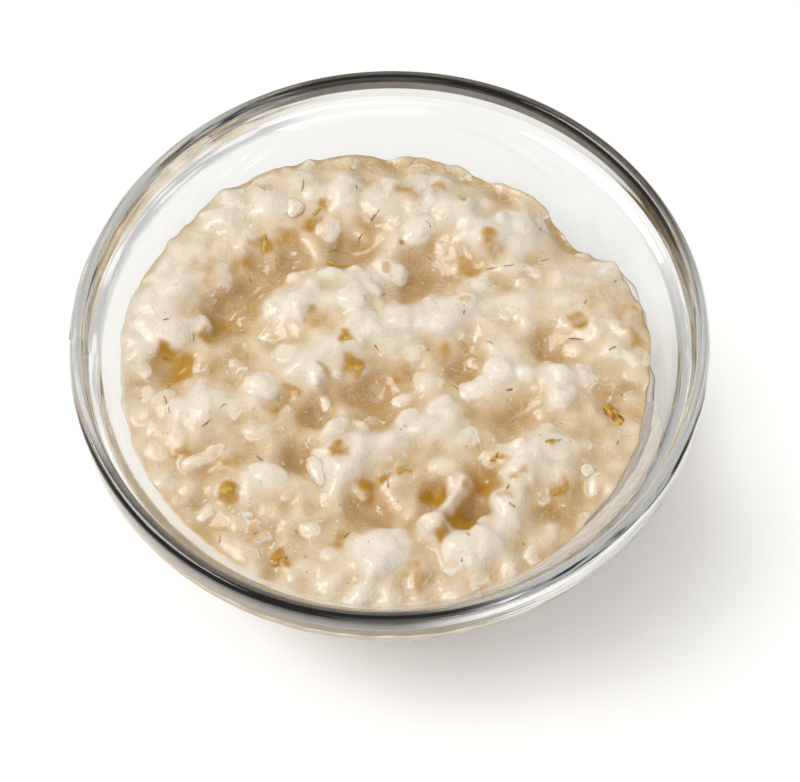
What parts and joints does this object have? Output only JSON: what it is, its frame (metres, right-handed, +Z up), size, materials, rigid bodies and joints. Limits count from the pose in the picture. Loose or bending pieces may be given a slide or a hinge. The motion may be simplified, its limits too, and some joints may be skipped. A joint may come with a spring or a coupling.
{
  "type": "bowl of porridge",
  "caption": "Round clear glass bowl with a collared rim, filled with thick, lumpy cooked porridge to some way below the rim.",
  "frame": {"origin": "centre of the foot's underside, on the surface the bowl stands on", "axes": "+Z up along the bowl's axis, +X to the right and +Y away from the side it is seen from"},
  "size_m": [0.14, 0.14, 0.052],
  "materials": {
    "clear_glass": "clear, colourless pressed glass, polished, faintly green through its thickness",
    "porridge": "creamy, moist cooked grain in a milky film, glossy where it is wet"
  },
  "bodies": {
    "root": {"bowl": "clear_glass", "porridge": "porridge"}
  },
  "joints": []
}
